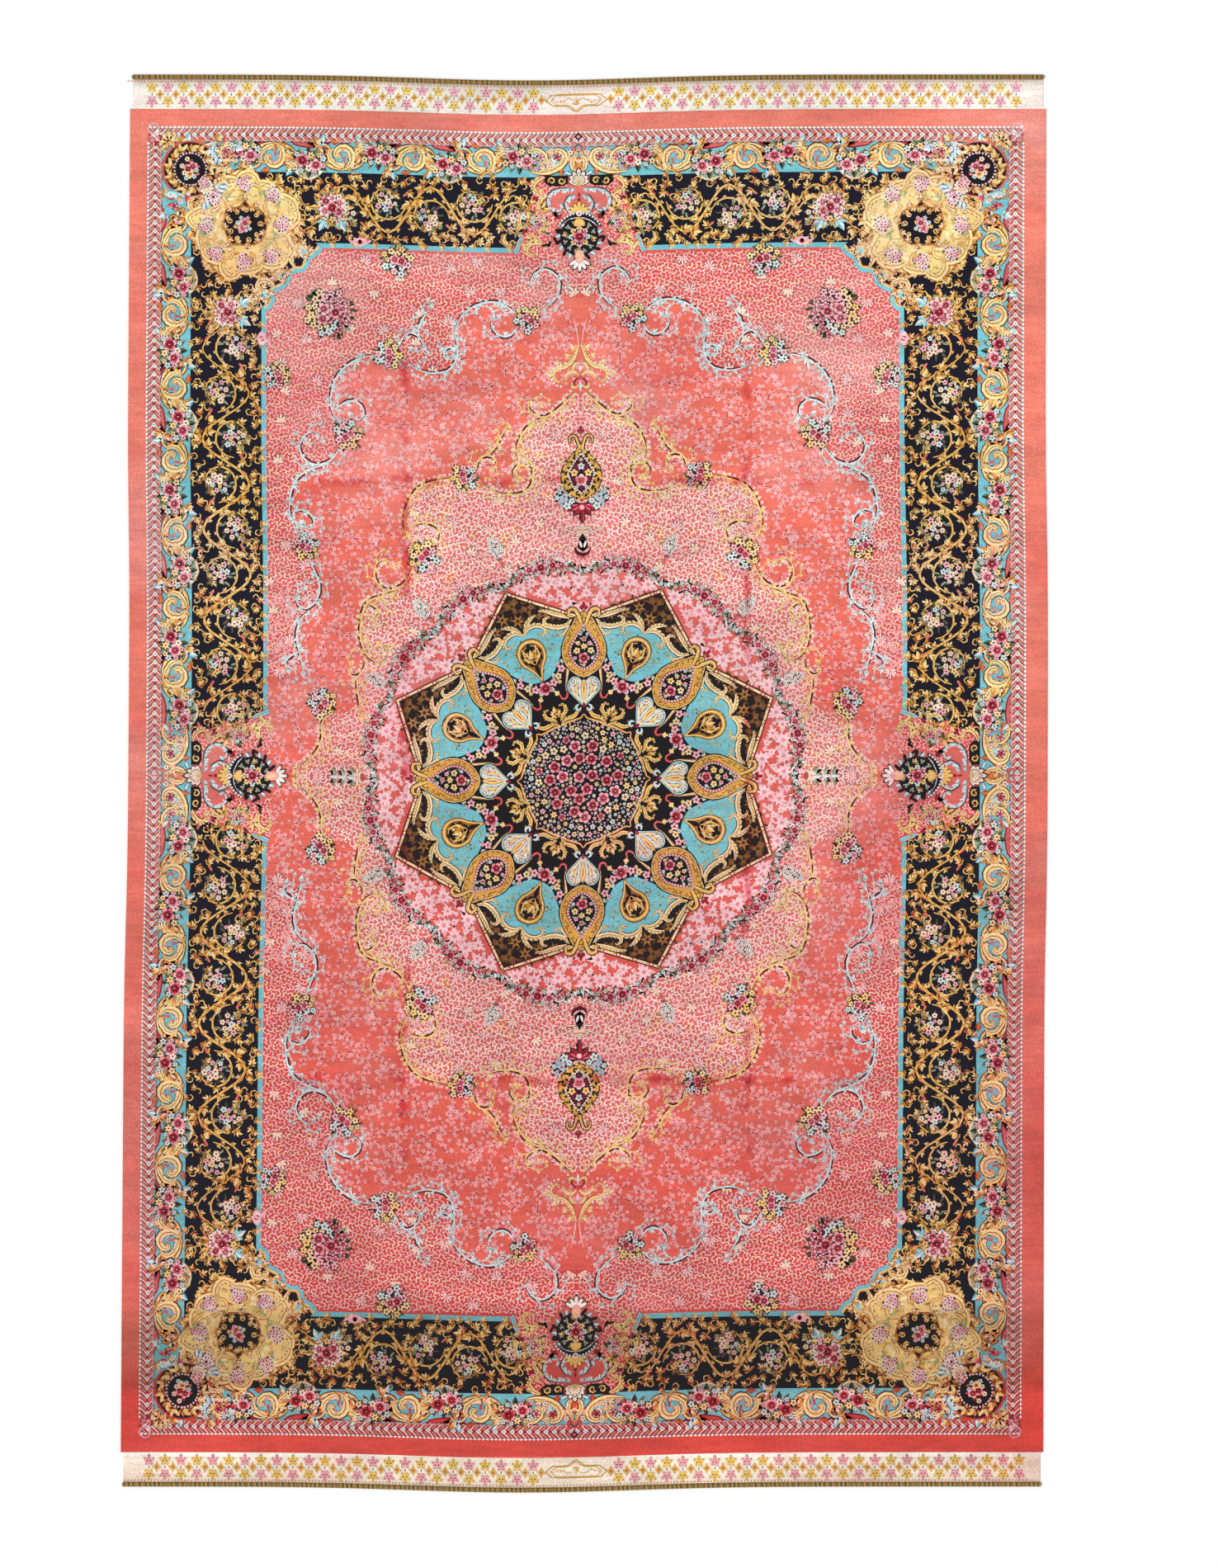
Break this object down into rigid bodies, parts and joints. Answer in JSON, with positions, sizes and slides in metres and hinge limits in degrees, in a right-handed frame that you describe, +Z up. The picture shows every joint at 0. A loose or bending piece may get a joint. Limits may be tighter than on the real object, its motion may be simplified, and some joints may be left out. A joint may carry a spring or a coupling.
{
  "type": "persian rug",
  "caption": "Large rectangular hand-knotted silk rug lying flat, with a flatwoven band and a corded binding across each end.",
  "frame": {"origin": "on the floor, under the centre of the rug's bounding box", "axes": "+Z up out of the pile, +Y along the rug's length towards the end at the top of the picture, +X to its right"},
  "size_m": [2.027, 3.1016, 0.0098],
  "materials": {
    "silk_pile": "short silk pile with a soft directional sheen, cream flatweave at the ends",
    "binding_cord": "matte olive gold overcast yarn"
  },
  "bodies": {
    "root": {"woven_rug": "silk_pile", "end_binding_top": "binding_cord", "end_binding_foot": "binding_cord"}
  },
  "joints": []
}
